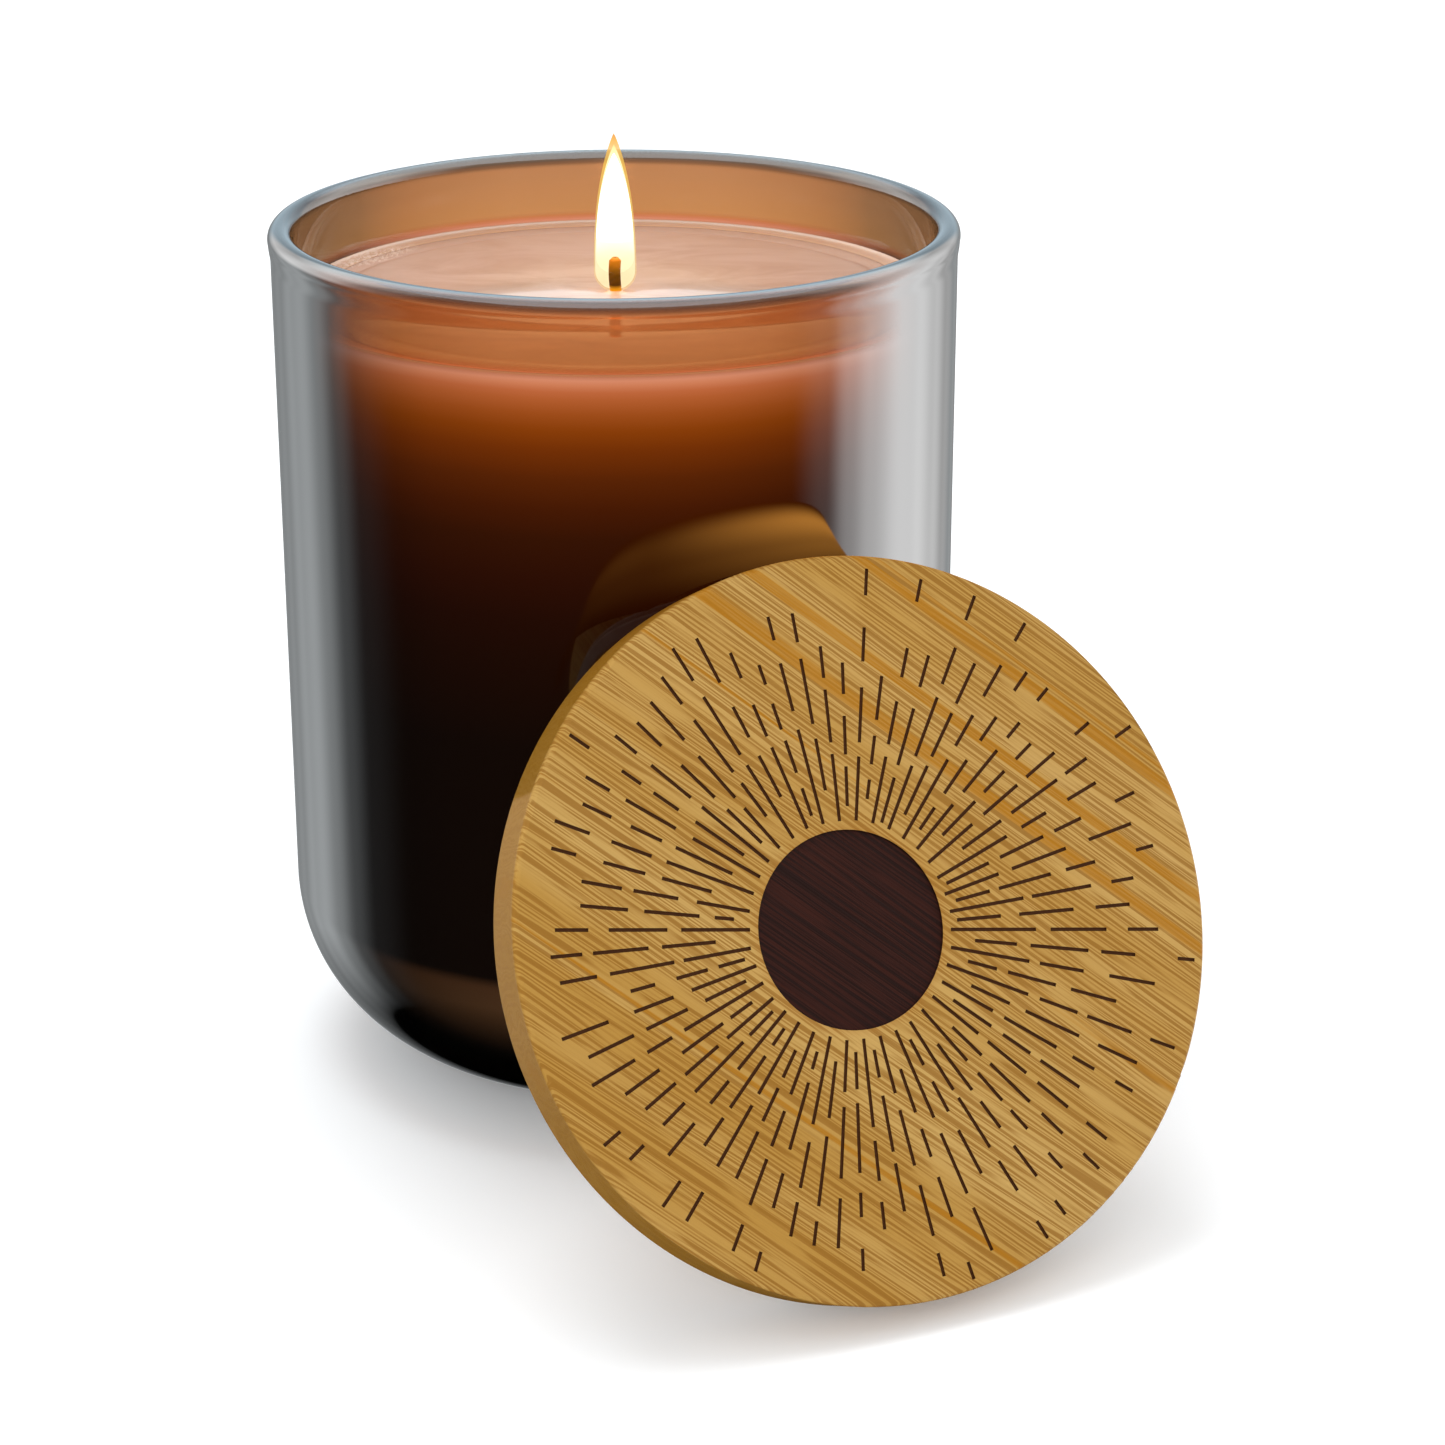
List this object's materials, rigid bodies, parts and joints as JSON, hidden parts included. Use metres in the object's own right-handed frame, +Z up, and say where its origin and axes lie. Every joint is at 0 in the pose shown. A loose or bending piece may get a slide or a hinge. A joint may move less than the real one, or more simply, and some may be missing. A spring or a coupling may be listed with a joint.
{
  "type": "container candle with lid",
  "caption": "Straight round-bottomed smoked glass jar filled with wax around a central wick, with a round engraved wooden lid leaning against its side.",
  "frame": {"origin": "jar's axis at the plane of its foot ring", "axes": "+Z up along the jar's axis, front of the scene towards -Y"},
  "size_m": [0.1186, 0.138, 0.1145],
  "materials": {
    "smoked_glass": "satin, amber at the mouth fading to near black",
    "wax": "soft cream wax",
    "molten_wax": "glossy melted wax",
    "wick_cotton": "braided cotton, charred at the top",
    "wick_paper": "matt",
    "tinned_steel": "bright tinned sheet",
    "foam": "white adhesive foam",
    "label_paper": "uncoated, blank",
    "bamboo": "caramelised bamboo, satin oil, burnt engraving",
    "bamboo_back": "turned bamboo, unfinished",
    "silicone": "translucent silicone",
    "flame": "glowing candle flame"
  },
  "bodies": {
    "jar": {"glass_jar": "smoked_glass", "wax_fill": "wax", "melt_pool": "molten_wax", "wick": "wick_cotton", "wick_core": "wick_paper", "wick_tab": "tinned_steel", "wick_sticker": "foam", "base_label": "label_paper"},
    "seal": {"seal_ring": "silicone"},
    "lid": {"lid_strip_1": "bamboo", "lid_strip_2": "bamboo", "lid_strip_3": "bamboo", "lid_strip_4": "bamboo", "lid_plug": "bamboo_back"}
  },
  "joints": [
    {"name": "lid_tip", "type": "hinge", "parent": "jar", "child": "seal", "pos_m": [0.04086, -0.08751, 0], "axis": [0.9143, 0.4051, 0], "range_deg": [0, 116.8]},
    {"name": "lid_turn", "type": "hinge", "parent": "seal", "child": "lid", "pos_m": [0.02901, -0.06077, 0.04017], "axis": [0.3616, -0.816, 0.4509], "continuous": true}
  ]
}
